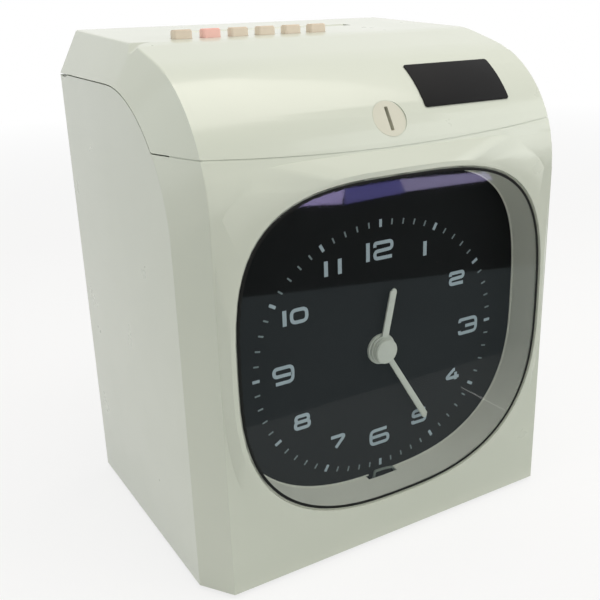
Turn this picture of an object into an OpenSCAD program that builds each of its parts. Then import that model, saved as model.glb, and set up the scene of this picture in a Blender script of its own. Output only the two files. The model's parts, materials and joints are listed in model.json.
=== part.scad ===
// Desk or wall time recorder with an analogue dial, a locked top cover and a card printer.
// Front faces -Y, up is +Z. Origin: centre of the footprint, on the surface it stands on.

/* [Housing] */
// Overall width across the side panels
body_w = 202; // [190:1:215]
// Height from the underside of the housing to the rear top edge
body_h = 240; // [236:1:250]
// Depth from the flat front face to the back
body_d = 145; // [142:1:155]
// Wall thickness of the plastic shells
wall = 2.5; // [2.2:0.1:3]
// Width of the side bevel seen from the front
bevel_w = 10.4; // [8:0.2:12]
// Depth of the side bevel seen from the side
bevel_d = 15; // [12:0.5:17]
// Drop from the rear top edge to the top of the side panels
bevel_drop = 19.8; // [18:0.2:22]
// Radius of the curve from the front face to the top
crown_r = 60; // [54:1:64]
// Slope where the crown runs out below the top panel
brow_angle = 16.4; // [14:0.2:19]
// Distance of the crease of the top panel behind the front face
brow_end = 65; // [62:1:68]
// Slope of the top panel
top_angle = 3.9; // [3:0.1:5]
// Radius of the front top corner of the side panels
side_r = 62; // [58:1:66]
// Slope of the top edge of the side panels
side_angle = 1.4; // [1:0.1:2]
// Depth of the middle of the cover seam below the top of the housing
seam_drop = 50.3; // [49:0.1:52]
// Sag of the cover seam across the front
seam_sag = 4.1; // [3:0.1:5]
// Gap along the cover seam
seam_gap = 0.5; // [0.4:0.1:0.8]
// Height of the rubber feet below the housing
foot_h = 2; // [1.5:0.5:4]
// Radius of a rubber foot
foot_r = 8; // [6:0.5:10]

/* [Window] */
// Width of the front face beside the window
window_side = 6.2; // [5.6:0.1:8]
// Height of the front face below the window
window_sill = 22.5; // [20:0.5:26]
// Height of the front face between the window and the cover seam
window_brow = 10.4; // [10:0.1:13]
// Squareness of the upper corners of the window
corner_top = 3.4; // [3:0.1:4]
// Squareness of the lower corners of the window
corner_low = 2.6; // [2.4:0.1:3.2]
// Height of the raised rim round the window above the front face
rim_h = 3; // [2:0.5:4]
// Gap round the lens
lens_gap = 0.5; // [0.4:0.1:0.8]
// Thickness of the lens
lens_t = 1.5; // [1.2:0.1:2]
// Distance from the front face back to the face of the dial
dial_depth = 15; // [14:0.5:18]
// Thickness of the dial plate
dial_t = 1.5; // [1:0.1:2]
// Wall thickness of the liner between lens and dial
liner_t = 1.4; // [1.2:0.1:1.8]
// Taper of the liner, front to back, top and bottom
liner_taper = 2; // [1:0.5:3]

/* [Hands] */
// Depth of the hand pivot below the middle of the window
pivot_drop = 8.4; // [7:0.1:10]
// Minutes past twelve that the hands show
shown_minutes = 24.8; // [0:0.2:719]
// Length of the hour hand
hour_len = 30; // [26:1:34]
// Width of the hour hand
hour_w = 4; // [3:0.2:5]
// Length of the minute hand
minute_len = 49; // [44:1:54]
// Width of the minute hand
minute_w = 3.7; // [3:0.1:5]
// Thickness of the hands
hand_t = 1; // [0.8:0.1:1.2]
// Radius of the cap over the pivot
cap_r = 6; // [5:0.5:7]
// Radius of the fixed nut behind the hands
nut_r = 7.5; // [7:0.5:9]
// Tooth module of the motion work
motion_m = 0.5; // [0.45:0.01:0.52]

/* [Keys] */
// Width of a key cap
key_w = 9.1; // [8:0.1:10]
// Depth of a key cap, front to back
key_d = 5; // [4.4:0.1:7]
// Spacing of the keys
key_pitch = 14.05; // [13.8:0.05:14.5]
// Height of a key cap above the top panel
key_proud = 3.8; // [3:0.1:4]
// Travel of a key
key_travel = 2; // [1.5:0.1:2.2]
// Distance of the front edge of the keys behind the front face
key_front = 75; // [72:1:78]
// Distance of the centre of the first key from the left side
key_inset = 37.5; // [36:0.1:39]

/* [Card path] */
// Width of the card slot
slot_w = 90; // [86:1:94]
// Clear gap between the card guides
slot_gap = 6; // [5:0.2:7]
// Distance of the card slot behind the front face
slot_back = 107; // [104:1:110]
// Height of the card stop above the underside
stop_h = 70; // [60:1:90]
// Radius of the driven feed roller
feed_r = 7; // [6:0.2:8]
// Radius of the pinch roller
pinch_r = 6.5; // [6.2:0.1:7.5]
// Depth of the feed roller below the top of the housing
feed_drop = 36; // [34:0.5:38]
// Spacing of the rollers on a shaft
roller_gap = 56; // [46:1:64]
// Tooth module of the feed and carriage gears
drive_m = 0.8; // [0.7:0.05:0.85]

/* [Lock] */
// Height of the lock above the middle of the cover seam
lock_rise = 11.3; // [10.5:0.1:13]
// Radius of the turning disc of the lock
lock_r = 8.2; // [7:0.1:9]
// Radius of the lock barrel behind the disc
barrel_r = 6; // [5:0.1:6.5]
// Length of the key slot
keyslot_l = 11; // [9:0.5:13]
// Width of the key slot
keyslot_w = 1.8; // [1.4:0.1:2.4]
// Length of the lock cam
cam_l = 16; // [14:0.5:17]

/* [Printer] */
// Radius of the carriage rods
rod_r = 3; // [2.5:0.1:3.5]
// Depth of the carriage rods below the feed roller
rod_drop = 38; // [37:0.5:40]
// Travel of the carriage to each side of the middle
carriage_travel = 26; // [20:1:28]
// Width of the carriage
carriage_w = 28; // [24:1:32]
// Width of the space for the drives at each side of the chassis
drive_bay = 41; // [39:0.5:43]
// Thickness of the chassis sheet
sheet = 1.5; // [1.2:0.1:2]

/* [Back] */
// Spacing of the two wall keyholes
keyhole_pitch = 120; // [100:5:140]
// Radius of the round entry of a keyhole
keyhole_r = 4.5; // [4:0.1:5]
// Height of the keyholes above the underside
keyhole_h = 178; // [160:1:185]
// Radius of the cord passage in the gland
cord_r = 3.5; // [3:0.1:4]

/* [Fits] */
// Radial clearance of a shaft that turns in a bore
run_gap = 0.05; // [0.03:0.01:0.08]
// Gap between pieces that must not rub
free_gap = 0.3; // [0.3:0.05:0.4]
// Radius of the cover hinge pins
hinge_r = 1.5; // [1.2:0.1:1.8]

/* [Hidden] */
$fn = 48;
eps = 0.01;

// Main planes
body_z = foot_h;
top_z = body_z + body_h;
half_w = body_w / 2;
face_w = half_w - bevel_w;
back_y = (body_d + rim_h) / 2;
front_y = back_y - body_d;
rim_y = front_y - rim_h;
side_y = front_y + bevel_d;
dial_y = front_y + dial_depth;
floor_z = body_z + wall;

// Crown and side outlines
crown_y = front_y + crown_r;
crease = [front_y + brow_end, top_z - (back_y - front_y - brow_end) * tan(top_angle)];
crown_z = crease[1] - (crease[0] - crown_y) * tan(brow_angle) - crown_r / cos(brow_angle);
panel_y = side_y + side_r;
panel_top = top_z - bevel_drop;
panel_z = panel_top - (back_y - panel_y) * tan(side_angle) - side_r / cos(side_angle);
seam_low = top_z - seam_drop;
window_w = 2 * (face_w - window_side);
window_low = body_z + window_sill;
window_h = seam_low - window_brow - window_low;
window_cz = window_low + window_h / 2;
seam_r = (face_w * face_w + seam_sag * seam_sag) / (2 * seam_sag);
seam_c = seam_low + seam_r;

// Outline of the housing seen from the side, moved inwards by i, as [y, z] points
function slope_point(p, a1, a2, i) =
  p + i / cos((a1 - a2) / 2) * [sin((a1 + a2) / 2), -cos((a1 + a2) / 2)];
function arc_yz(cy, cz, r, a, n) =
  [for (k = [0:n]) let (t = 180 - k * (90 - a) / n) [cy + r * cos(t), cz + r * sin(t)]];
function crown_outline(i, rear) = concat(
  [[rear, body_z + i], [front_y + i, body_z + i]],
  arc_yz(crown_y, crown_z, crown_r - i, brow_angle, 14),
  [slope_point(crease, brow_angle, top_angle, i),
   [rear, top_z - i / cos(top_angle) + (rear - back_y) * tan(top_angle)]]);
function side_outline(i, rear) = concat(
  [[rear, body_z + i], [side_y + i, body_z + i]],
  arc_yz(panel_y, panel_z, side_r - i, side_angle, 16),
  [[rear, panel_top - i / cos(side_angle) + (rear - back_y) * tan(side_angle)]]);
// Rounded window outline, grown outwards by g, as [x, z] points
function corner_power(t) = sin(t) >= 0 ? corner_top : corner_low;
function power(v, p) = sign(v) * pow(abs(v), 2 / p);
function window_outline(g, low = 0) = [for (k = [0:71]) let (t = 5 * k, p = corner_power(t))
  [(window_w / 2 + g) * power(cos(t), p),
   window_cz + (window_h / 2 + g - low) * power(sin(t), p)]];

// Basic forms
module across(w) { rotate([90, 0, 90]) linear_extrude(w, center = true) children(); }
module span_x(x0, x1) { translate([x0, 0, 0]) rotate([90, 0, 90]) linear_extrude(x1 - x0) children(); }
module span_y(y0, y1) { translate([0, y1, 0]) rotate([90, 0, 0]) linear_extrude(y1 - y0) children(); }
module rod_x(r, x0, x1) { translate([x0, 0, 0]) rotate([0, 90, 0]) cylinder(r = r, h = x1 - x0); }
module rod_y(r, y0, y1) { translate([0, y1, 0]) rotate([90, 0, 0]) cylinder(r = r, h = y1 - y0); }
module block(x0, x1, y0, y1, z0, z1) { translate([x0, y0, z0]) cube([x1 - x0, y1 - y0, z1 - z0]); }
module both_sides() { for (s = [0, 1]) mirror([s, 0, 0]) children(); }
module rounded_plate(w, h, r) {
  difference() {
    square([w, h], center = true);
    for (sx = [-1, 1], sz = [-1, 1]) translate([sx * w / 2, sz * h / 2]) difference() {
      square(2 * r, center = true);
      translate([-sx * r, -sz * r]) circle(r);
    }
  }
}

// Outer form of the whole housing, moved inwards by i, reaching back to rear
module housing_form(i, rear) {
  hull() {
    across(2 * (face_w - 0.52 * i)) polygon(crown_outline(i, rear));
    across(2 * (half_w - i)) polygon(side_outline(i, rear));
  }
}
module above_seam(gap) {
  intersection() {
    translate([0, 0, seam_c]) rotate([90, 0, 0])
      cylinder(r = seam_r + gap, h = 2 * body_d, center = true, $fn = 720);
    block(-half_w - 1, half_w + 1, -body_d, body_d, body_z, top_z + 10);
  }
}

// Hinge of the cover
hinge_y = back_y - 6;
hinge_z = top_z - 6.7;
hinge_eye = hinge_r + 1.8;
hinge_lug = 4;
hinge_x = 80;
skirt_z = panel_top - 0.3;
swing_r = norm([back_y - hinge_y, skirt_z - hinge_z]) + free_gap;

vent_x = 45;
vent_w = 47;
vent_r = 1.5;

// Screw bosses behind the front wall
boss_x = window_w / 2 - 4.4;
boss_z = window_h / 2 - 6.4;
boss_r = 3.5;
boss_hole = 1.2;
rear_boss_x = half_w - wall - 5;
rear_boss_z = [body_z + 14, top_z - 44];
rear_screw_r = 1.5;
screw_head_t = 1.6;
foot_x = half_w - 20;
foot_y = [front_y + 18, back_y - 18];
stud_r = 3;

// Window opening: a front lip that frames the lens and a rebate behind it for the liner
rebate = 2;
lip_t = rim_h + wall - 4;
lens_y = rim_y + 0.6;
lens_back = lens_y + lens_t;
rim_side = 5.8;
rim_low = 20;
rim_top = [3.5, 9.5];
rim_corner = 7;
// Foot of the raised rim: it fills the corners beside the crown and follows the window below
function rim_outline(top) = [for (k = [0:71]) let (t = 5 * k, p = sin(t) > 0 ? rim_corner : corner_low)
  [(window_w / 2 + rim_side) * power(cos(t), p),
   window_cz + (window_h / 2 + (sin(t) > 0 ? top : rim_low)) * power(sin(t), p)]];

module base_shell() {
  color("ivory") difference() {
    union() {
      difference() {
        union() {
          housing_form(0, back_y);
          hull() {
            span_y(rim_y, rim_y + 1) polygon(window_outline(2.2));
            span_y(front_y, front_y + 1) polygon(rim_outline(rim_top[0]));
            span_y(front_y + 2.5, front_y + 3.5) polygon(rim_outline(rim_top[1]));
          }
        }
        housing_form(wall, back_y + 1);
      }
      for (sx = [-1, 1], sz = [-1, 1])
        translate([sx * boss_x, 0, window_cz + sz * boss_z])
          rod_y(boss_r, front_y + wall - 1, dial_y - liner_t);
      for (sx = [-1, 1], z = rear_boss_z) intersection() {
        translate([sx * rear_boss_x, 0, z]) rod_y(5.5, back_y - 22, back_y - wall);
        block(-half_w + 1, half_w - 1, front_y, back_y, body_z, top_z);
      }
      for (sx = [-1, 1], y = chassis_posts)
        translate([sx * post_x, y, body_z + 1]) cylinder(r = 4, h = chassis_z - body_z - 1);
    }
    difference() {
      above_seam(seam_gap);
      for (s = [-1, 1]) translate([s * (half_w - wall / 2 + 0.5), 0, 0])
        across(wall + 1) polygon(side_outline(seam_gap, back_y + 1));
    }
    translate([0, hinge_y, hinge_z]) rod_x(swing_r, -half_w - 1, half_w + 1, $fn = 96);
    span_y(rim_y - 1, lens_back + eps) polygon(window_outline(0));
    span_y(lens_back, front_y + wall + 6) polygon(window_outline(rebate));
    for (sx = [-1, 1], sz = [-1, 1])
      translate([sx * boss_x, 0, window_cz + sz * boss_z]) rod_y(boss_hole, front_y + wall, dial_y);
    for (sx = [-1, 1], z = rear_boss_z)
      translate([sx * rear_boss_x, 0, z]) rod_y(rear_screw_r, back_y - 16, back_y);
    for (sx = [-1, 1], y = foot_y) translate([sx * foot_x, y, 0]) cylinder(r = stud_r, h = 20);
    for (sx = [-1, 1], y = chassis_posts)
      translate([sx * post_x, y, floor_z]) cylinder(r = boss_hole, h = 20);
  }
}

module feet() {
  color("dimgray") for (sx = [-1, 1], y = foot_y) translate([sx * foot_x, y, 0]) {
    cylinder(r1 = foot_r - 0.6, r2 = foot_r, h = foot_h);
    cylinder(r = stud_r - 0.1, h = floor_z + 1);
    translate([0, 0, floor_z]) cylinder(r1 = stud_r + 0.5, r2 = stud_r - 1, h = 2);
  }
}

// Rear panel with two wall keyholes, vent slots and the cord gland
panel_in = back_y - wall;
gland_x = -55;
gland_z = body_z + 22;
gland_seat = cord_r + 3;
keyhole_z = body_z + keyhole_h;
slot_half = 0.55 * keyhole_r;

module rear_panel() {
  color("ivory") difference() {
    union() {
      block(-half_w + wall + free_gap, half_w - wall - free_gap, panel_in, back_y,
        floor_z + free_gap, panel_top);
      both_sides() span_x(hinge_x, hinge_x + hinge_lug) union() {
        translate([hinge_y, hinge_z]) circle(hinge_eye);
        translate([hinge_y - hinge_eye, hinge_z - 25]) square([2 * hinge_eye - 0.2, 25]);
        translate([hinge_y - hinge_eye, hinge_z - 30]) square([panel_in - hinge_y + hinge_eye + 1, 13]);
      }
    }
    difference() {
      translate([0, hinge_y, hinge_z]) rod_x(swing_r, -half_w - 1, half_w + 1, $fn = 96);
      both_sides() block(hinge_x - eps, hinge_x + hinge_lug + eps, hinge_y - 20, hinge_y + hinge_eye,
        hinge_z - 30, hinge_z + 10);
    }
    both_sides() translate([0, hinge_y, hinge_z]) rod_x(hinge_r + 0.01, hinge_x - 1, hinge_x + hinge_lug + 1);
    both_sides() translate([keyhole_pitch / 2, 0, keyhole_z]) {
      rod_y(keyhole_r, panel_in - 1, back_y + 1);
      translate([0, 0, 2 * keyhole_r]) rod_y(slot_half, panel_in - 1, back_y + 1);
      block(-slot_half, slot_half, panel_in - 1, back_y + 1, 0, 2 * keyhole_r);
    }
    for (sx = [-1, 1], z = rear_boss_z) translate([sx * rear_boss_x, 0, z]) {
      rod_y(rear_screw_r + 0.2, panel_in - 1, back_y + 1);
      rod_y(3.1, back_y - screw_head_t, back_y + 1);
    }
    translate([gland_x, 0, gland_z]) rod_y(gland_seat, panel_in - 1, back_y + 1);
    for (k = [0:6]) translate([vent_x, 0, gland_z - 6.5 + 6 * k]) {
      block(-vent_w / 2, vent_w / 2, panel_in - 1, back_y + 1, -vent_r, vent_r);
      for (s = [-1, 1]) translate([s * vent_w / 2, 0, 0]) rod_y(vent_r, panel_in - 1, back_y + 1);
    }
  }
}

module screw_y(x, y, z, r, l, head) {
  translate([x, 0, z]) {
    rod_y(r, y - l, y);
    rod_y(head, y, y + screw_head_t);
  }
}
module rear_screws() {
  color("silver") for (sx = [-1, 1], z = rear_boss_z)
    screw_y(sx * rear_boss_x, back_y - screw_head_t, z, rear_screw_r - 0.05, 12, 2.8);
}

module cord_gland() {
  color("dimgray") translate([gland_x, 0, gland_z]) difference() {
    union() {
      rod_y(gland_seat - 0.05, panel_in - 3.5, back_y);
      rod_y(gland_seat + 1.5, panel_in - 3.5, panel_in - 0.1);
    }
    rod_y(cord_r, panel_in - 6, back_y + 1);
  }
}

// Involute gears. Each tooth is thinned so that a pair runs with play
pressure = 25;
function involute(a) = tan(a) * 180 / PI - a;
function half_tooth(r, m, z, play) =
  let (rp = m * z / 2, rb = rp * cos(pressure), a = r > rb ? acos(rb / r) : 0)
  90 / z - play / (2 * rp) * 180 / PI + involute(pressure) - involute(a);
function tooth_radii(m, z) = [m * z / 2 - 1.15 * m, m * z / 2 - 0.3 * m, m * z / 2 + 0.25 * m, m * z / 2 + 0.8 * m];
function polar(r, a) = [r * cos(a), r * sin(a)];
function gear_outline(m, z, play) = [for (k = [0:z - 1]) let (c = 360 * k / z, rs = tooth_radii(m, z))
  each concat([for (i = [0:3]) polar(rs[i], c - half_tooth(rs[i], m, z, play))],
    [for (i = [3:-1:0]) polar(rs[i], c + half_tooth(rs[i], m, z, play))])];
play_m = 0.18 * motion_m;
play_d = 0.14 * drive_m;
module gear_y(z, y0, y1, turn) { span_y(y0, y1) rotate(turn) polygon(gear_outline(motion_m, z, play_m)); }
module gear_x(z, x0, x1, turn) { span_x(x0, x1) rotate(turn) polygon(gear_outline(drive_m, z, play_d)); }

// Lens, liner and dial
liner_in = -1.4;
plate_w = 2 * (boss_x + 6);
plate_h = 2 * (boss_z + 6);
pivot_z = window_cz - pivot_drop;
dial_back = dial_y + dial_t;
collar_r = 4.5;

module window_lens() {
  color("lightblue", 0.35) hull() {
    span_y(lens_y + 0.4, lens_back) polygon(window_outline(-lens_gap));
    span_y(lens_y, lens_y + 0.4) polygon(window_outline(-lens_gap - 0.4));
  }
}

module bezel_liner() {
  color("silver") difference() {
    union() {
      span_y(lens_back, front_y + wall - 1) polygon(window_outline(rebate - free_gap));
      span_y(lens_back, dial_y) polygon(window_outline(liner_in + liner_t));
      span_y(dial_y - liner_t, dial_y) translate([0, window_cz]) rounded_plate(plate_w, plate_h, 10);
    }
    hull() {
      span_y(lens_back - 1, lens_back) polygon(window_outline(liner_in));
      span_y(dial_y, dial_y + 1) polygon(window_outline(liner_in, liner_taper));
    }
    for (sx = [-1, 1], sz = [-1, 1])
      translate([sx * boss_x, 0, window_cz + sz * boss_z]) rod_y(1.5, dial_y - 3, dial_y + 1);
    block(-9, 8, dial_y - 3.2, dial_y + 1, window_cz - window_h / 2 - 1, window_cz - window_h / 2 + 4.6);
  }
}

module dial_plate() {
  color("black") difference() {
    span_y(dial_y, dial_back) translate([0, window_cz]) rounded_plate(plate_w, plate_h, 10);
    translate([0, 0, pivot_z]) rod_y(collar_r + 0.2, dial_y - 1, dial_back + 1);
    for (sx = [-1, 1], sz = [-1, 1])
      translate([sx * boss_x, 0, window_cz + sz * boss_z]) rod_y(1.5, dial_y - 1, dial_back + 1);
  }
}

module dial_screws() {
  color("silver") for (sx = [-1, 1], sz = [-1, 1])
    screw_y(sx * boss_x, dial_back, window_cz + sz * boss_z, boss_hole - 0.05, 8, 2.6);
}

// Motion work behind the dial: cannon pinion, minute wheel, hour wheel and drive gear
arbor_r = 1.5;
pipe_r = 2.5;
nut_y = dial_y - 1.2;
hour_y = nut_y - 0.4;
minute_y = hour_y - hand_t - 0.4;
cap_y = minute_y - hand_t;
move_w = 60;
move_t = 2;
move_y = dial_back + move_t;
hour_wheel_y = move_y + 0.4;
cannon_y = hour_wheel_y + 2.9;
drive_y = cannon_y + 3.6;
move_back = drive_y + 5.6;
shell_t = 1.5;
work_c = motion_m * (15 + 45) / 2;
motor_c = motion_m * (60 + 10) / 2;
motor_a = 225;
motor_x = motor_c * cos(motor_a);
motor_z = pivot_z + motor_c * sin(motor_a);

module movement_plate() {
  color("tan") difference() {
    union() {
      span_y(dial_back, move_y) translate([0, pivot_z]) rounded_plate(move_w, move_w, 4);
      translate([0, 0, pivot_z]) rod_y(collar_r, nut_y, move_y);
      translate([work_c, 0, pivot_z]) rod_y(1, move_y - 0.5, cannon_y + 2.6);
    }
    translate([0, 0, pivot_z]) rod_y(pipe_r + run_gap, nut_y - 1, move_y + 1);
  }
}

module movement_cover() {
  color("tan") difference() {
    span_y(move_y, move_back) translate([0, pivot_z]) rounded_plate(move_w, move_w, 4);
    span_y(move_y - 1, move_back - shell_t) translate([0, pivot_z])
      rounded_plate(move_w - 2 * shell_t, move_w - 2 * shell_t, 3);
    translate([0, 0, pivot_z]) rod_y(arbor_r + run_gap, move_back - 3, move_back + 1);
    translate([motor_x, 0, motor_z]) rod_y(3.2, move_back - 3, move_back + 1);
  }
}

module centre_nut() {
  color("gray") translate([0, 0, pivot_z]) difference() {
    rod_y(nut_r, nut_y, dial_y);
    rod_y(collar_r + 0.02, nut_y - 1, dial_y + 1);
  }
}

module minute_wheel() {
  color("gold") translate([work_c, 0, pivot_z]) difference() {
    union() {
      gear_y(12, hour_wheel_y + 0.1, cannon_y + 0.2, 180);
      gear_y(45, cannon_y + 0.2, cannon_y + 1.6, 180 + 180 / 45);
    }
    rod_y(1 + run_gap, move_y - 1, cannon_y + 4);
  }
}

module hour_wheel() {
  color("gold") translate([0, 0, pivot_z]) difference() {
    union() {
      gear_y(48, hour_wheel_y, hour_wheel_y + 1.4, 180 / 48);
      rod_y(pipe_r, hour_y - hand_t, hour_wheel_y + 0.5);
    }
    rod_y(arbor_r + run_gap, hour_y - 2, hour_wheel_y + 2);
  }
}

module minute_arbor() {
  color("gold") translate([0, 0, pivot_z]) {
    rod_y(arbor_r, minute_y - hand_t, move_back - 0.2);
    gear_y(15, cannon_y, cannon_y + 2.8, 0);
    gear_y(60, drive_y, drive_y + 1.2, motor_a);
  }
}

// A hand: a bar with a round end, pointing up, on a disc round the pivot
module hand_outline(l, w, r, hole) {
  difference() {
    union() {
      circle(r);
      translate([-w / 2, 0]) square([w, l - w / 2]);
      translate([0, l - w / 2]) circle(w / 2);
    }
    circle(hole);
  }
}
module hour_hand() {
  color("gainsboro") span_y(hour_y - hand_t, hour_y) translate([0, pivot_z])
    rotate(-0.5 * shown_minutes) hand_outline(hour_len, hour_w, cap_r + 0.7, pipe_r + 0.01);
}
module minute_hand() {
  color("gainsboro") span_y(minute_y - hand_t, minute_y) translate([0, pivot_z])
    rotate(-6 * shown_minutes) hand_outline(minute_len, minute_w, cap_r + 0.2, arbor_r + 0.01);
}
module hand_cap() {
  color("gainsboro") translate([0, 0, pivot_z]) {
    rod_y(cap_r, cap_y - 1.2, cap_y);
    rod_y(cap_r - 0.4, cap_y - 1.6, cap_y - 1.2);
  }
}

module step_motor() {
  color("dimgray") translate([motor_x, 0, motor_z]) difference() {
    union() {
      rod_y(9, move_back, move_back + 8);
      rod_y(3.1, drive_y + 2.4, move_back + 1);
    }
    rod_y(0.8 + run_gap, drive_y, move_back + 5);
  }
}
module motor_pinion() {
  color("gold") translate([motor_x, 0, motor_z]) {
    gear_y(10, drive_y - 0.6, drive_y + 1.8, motor_a + 180 + 18);
    rod_y(0.8, drive_y - 0.6, move_back + 4.8);
  }
}

// Keys in the top panel, over a board that hangs from posts under the panel
function panel_at(y) = top_z - (back_y - y) * tan(top_angle);
key_y = front_y + key_front + key_d / 2;
key_top = panel_at(key_y) + key_proud;
key_base = panel_at(key_y - key_d / 2) - wall / cos(top_angle) - free_gap - 0.2;
key_rim = 1.2;
board_t = 1.6;
switch_h = 3.5;
board_top = key_base - 1.2 - key_travel - 0.5 - switch_h;
key_x0 = key_inset - half_w;
board_x0 = key_x0 - key_w / 2 - 7;
board_x1 = key_x0 + 5 * key_pitch + key_w / 2 + 7;
function key_x(i) = key_x0 + i * key_pitch;
card_y = front_y + slot_back;

// Lock in the crown of the cover, square to its curve
lock_z = seam_low + lock_rise;
lock_a = asin((lock_z - crown_z) / crown_r);
lock_y = crown_y - crown_r * cos(lock_a);
lock_boss = 7;
cam_t = 2;
entry = 1.2;
rib_t = 1.2;
rib_h = 2.5;
rib_x = [58, 76];
neck_r = barrel_r - 1;
module at_lock() { translate([0, lock_y, lock_z]) rotate([90 - lock_a, 0, 0]) children(); }

module top_cover() {
  color("ivory") difference() {
    union() {
      intersection() {
        difference() {
          housing_form(0, back_y);
          housing_form(wall, panel_in);
        }
        above_seam(0);
      }
      both_sides() span_x(hinge_x - free_gap - hinge_lug, hinge_x - free_gap) union() {
        translate([hinge_y, hinge_z]) circle(hinge_eye);
        translate([hinge_y - hinge_eye, hinge_z]) square([2 * hinge_eye, panel_at(hinge_y) - hinge_z - 1.2]);
      }
      at_lock() translate([0, 0, -lock_boss]) cylinder(r = lock_r + 2.8, h = lock_boss - 1.6);
      intersection() {
        both_sides() for (x = rib_x) span_x(x, x + rib_t) difference() {
          polygon(crown_outline(wall - 0.2, key_y - 14));
          polygon(crown_outline(wall + rib_h, key_y));
          translate([front_y, body_z]) square([key_y - front_y, seam_low + seam_sag + 2 - body_z]);
        }
        block(-face_w, face_w, front_y, key_y - 14, seam_low + seam_sag + 2, top_z);
      }
      for (x = [board_x0 + 2.2, board_x1 - 2.2], s = [-1, 1])
        translate([x, key_y + 7 * s, board_top]) cylinder(r = 2, h = panel_at(key_y + 7 * s) - board_top - 1);
    }
    for (s = [-1, 1]) translate([s * (half_w - (wall + free_gap - 1) / 2), 0, 0])
      across(wall + free_gap + 1) polygon(side_outline(0, back_y + 1));
    block(-half_w - 1, half_w + 1, hinge_y - 13, back_y + 1, body_z, skirt_z);
    both_sides() block(hinge_x - free_gap, hinge_x + hinge_lug + free_gap, panel_in - 1, back_y + 1,
      skirt_z - 1, panel_at(panel_in) - wall / cos(top_angle));
    both_sides() translate([0, hinge_y, hinge_z])
      rod_x(hinge_r + run_gap, hinge_x - free_gap - hinge_lug - 1, hinge_x);
    for (i = [0:5]) translate([key_x(i), key_y, top_z - 20]) linear_extrude(30)
      rounded_plate(key_w + 2 * free_gap, key_d + 2 * free_gap, 1.5);
    block(-slot_w / 2, slot_w / 2, card_y - slot_gap / 2, card_y + slot_gap / 2, top_z - 20, top_z + 1);
    translate([0, card_y, panel_at(card_y)]) across(slot_w) polygon([[-slot_gap / 2, -entry],
      [-slot_gap / 2 - 2 * entry, entry], [slot_gap / 2 + 2 * entry, entry], [slot_gap / 2, -entry]]);
    at_lock() {
      translate([0, 0, -1.9]) cylinder(r = lock_r + 0.4, h = 4);
      translate([0, 0, -lock_boss - 1]) cylinder(r = barrel_r + run_gap, h = lock_boss + 2);
    }
  }
}

module hinge_pins() {
  color("silver") both_sides() translate([0, hinge_y, hinge_z])
    rod_x(hinge_r, hinge_x - free_gap - hinge_lug - 0.5, hinge_x + hinge_lug);
}

module key(i, tone) {
  color(tone) translate([key_x(i), key_y, 0]) {
    translate([0, 0, key_base]) linear_extrude(key_top - key_base - 0.5) rounded_plate(key_w, key_d, 1.4);
    translate([0, 0, key_top - 0.5]) linear_extrude(0.5) rounded_plate(key_w - 0.8, key_d - 0.8, 1.1);
    translate([0, 0, key_base - 1.2]) linear_extrude(1.2)
      rounded_plate(key_w + 2 * key_rim, key_d + 2 * key_rim, 1);
    translate([0, 0, board_top + 3]) cylinder(r = 1.5, h = key_base - board_top - 3);
  }
}
module key_1() { key(0, "tan"); }
module key_2() { key(1, "salmon"); }
module key_3() { key(2, "tan"); }
module key_4() { key(3, "tan"); }
module key_5() { key(4, "tan"); }
module key_6() { key(5, "tan"); }

module key_board() {
  color("green") difference() {
    union() {
      block(board_x0, board_x1, key_y - 10, key_y + 10, board_top - board_t, board_top);
      for (i = [0:5]) block(key_x(i) - 3, key_x(i) + 3, key_y - 3, key_y + 3, board_top - 0.5, board_top + switch_h);
    }
    for (i = [0:5]) translate([key_x(i), key_y, board_top]) cylinder(r = 1.8, h = switch_h + 1);
  }
}

module lock_barrel() {
  color("ivory") at_lock() difference() {
    union() {
      translate([0, 0, -1.6]) cylinder(r = lock_r, h = 1.1);
      translate([0, 0, -lock_boss - 1]) cylinder(r = barrel_r, h = lock_boss);
      translate([0, 0, -lock_boss - 2 * cam_t - 2]) cylinder(r = neck_r, h = 8);
    }
    translate([-keyslot_w / 2, -keyslot_l / 2, -6]) cube([keyslot_w, keyslot_l, 7]);
  }
}
module lock_cam() {
  color("silver") at_lock() translate([0, 0, -lock_boss - 1 - cam_t]) linear_extrude(cam_t) difference() {
    union() {
      circle(barrel_r + 1.5);
      translate([0, -4]) square([cam_l - 4, 8]);
      translate([cam_l - 4, 0]) circle(4);
    }
    circle(neck_r + 0.01);
  }
}
module lock_nut() {
  color("gray") at_lock() translate([0, 0, -lock_boss - 1 - 2 * cam_t]) difference() {
    cylinder(r = barrel_r + 1.6, h = cam_t, $fn = 6);
    translate([0, 0, -1]) cylinder(r = neck_r + 0.01, h = 5);
  }
}
function wall_in(z) = crown_y - sqrt(pow(crown_r - wall, 2) - pow(z - crown_z, 2));
module lock_catch() {
  z1 = seam_low - seam_gap - 1.6;
  z0 = z1 - 6.5;
  y1 = lock_y + (lock_boss + 1) * cos(lock_a)
    - (lock_z - (lock_boss + 1) * sin(lock_a) - z1 + sheet) * tan(lock_a) - free_gap - 0.1;
  color("silver") span_x(-10, 10)
    polygon([[wall_in(z0) + 0.05, z0], [wall_in(z1) + 0.05, z1], [y1, z1], [y1, z1 - sheet],
      [wall_in(z1 - sheet) + 1.4, z1 - sheet], [wall_in(z0) + 1.4, z0]]);
}

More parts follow.
